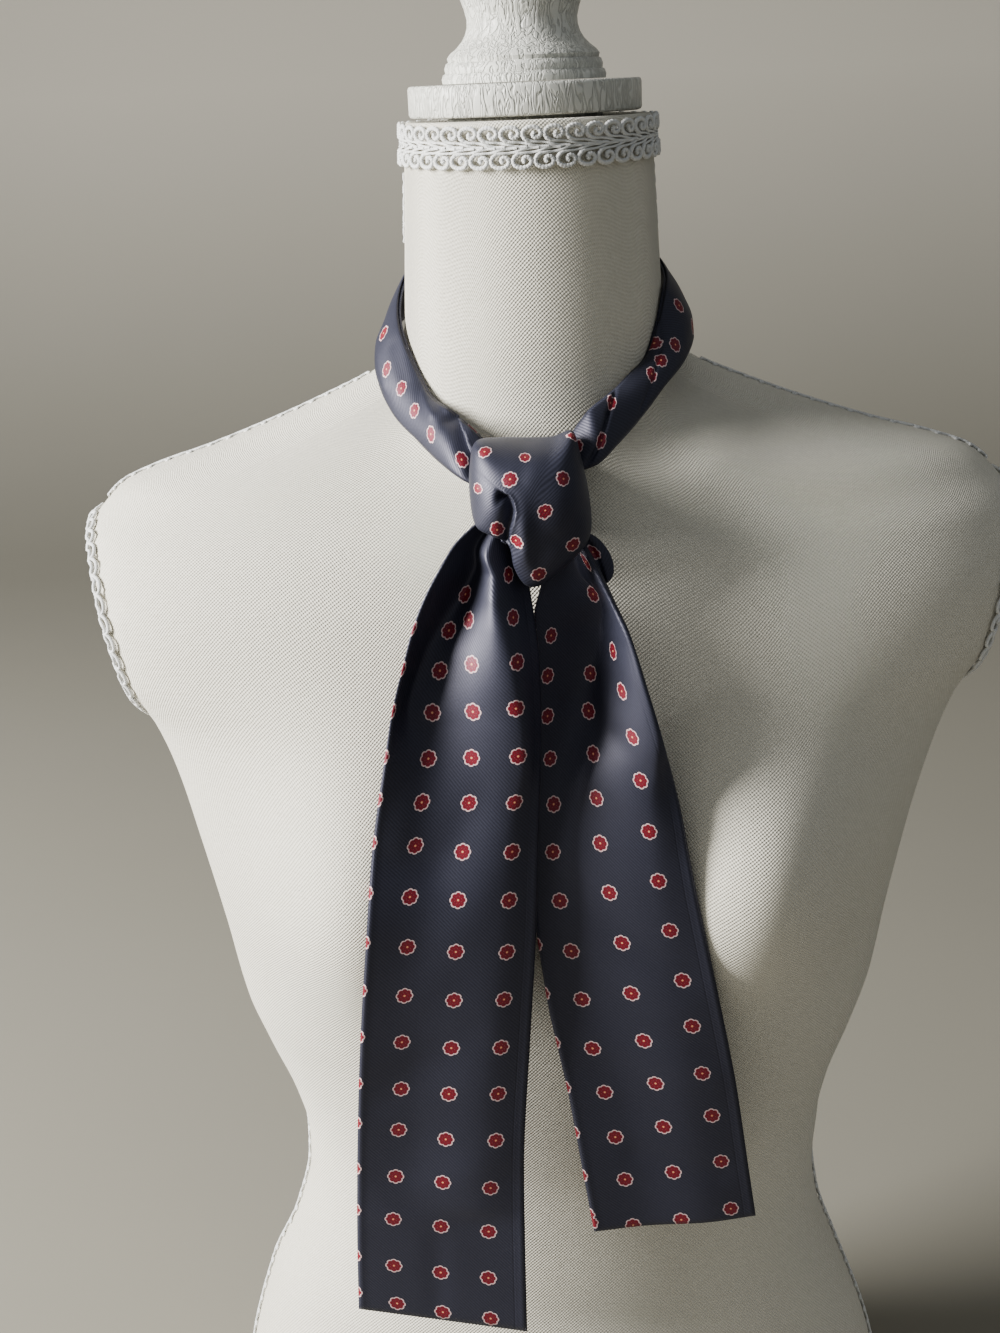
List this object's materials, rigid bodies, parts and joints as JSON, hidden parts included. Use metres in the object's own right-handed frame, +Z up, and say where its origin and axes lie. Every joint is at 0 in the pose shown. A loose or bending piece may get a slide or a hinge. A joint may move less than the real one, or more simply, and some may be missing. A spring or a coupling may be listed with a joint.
{
  "type": "skinny scarf on a limbless dress form",
  "caption": "Narrow folded silk scarf tied once in front, round the neck of an ivory canvas dress form with white braid trim and a turned finial, standing on a flat base.",
  "frame": {"origin": "on the underside of the base board, below the middle of the neck", "axes": "+Z up, along the neck towards the finial; -Y is the front of the form, where the knot and the tails hang; +X is to the right as seen from the front"},
  "size_m": [0.421, 0.2382, 0.7946],
  "materials": {
    "slate_silk": "satin twill, foulard print",
    "ivory_canvas": "matte woven cover",
    "white_braid": "looped gimp braid",
    "painted_wood": "white paint over open grain"
  },
  "bodies": {
    "root": {"form_body": "ivory_canvas", "base_board": "painted_wood", "neck_cap": "painted_wood", "finial": "painted_wood", "neck_braid": "white_braid", "neck_side_braid_left": "white_braid", "neck_side_braid_right": "white_braid", "shoulder_braid_left": "white_braid", "shoulder_braid_right": "white_braid", "arm_braid_left": "white_braid", "arm_braid_right": "white_braid", "side_braid_left": "white_braid", "side_braid_right": "white_braid", "tail_left": "slate_silk", "tail_right": "slate_silk", "neck_band_left": "slate_silk", "neck_band_right": "slate_silk", "neck_band_back": "slate_silk", "knot_wrap": "slate_silk", "knot_core": "slate_silk", "knot_tuck": "slate_silk"}
  },
  "joints": []
}
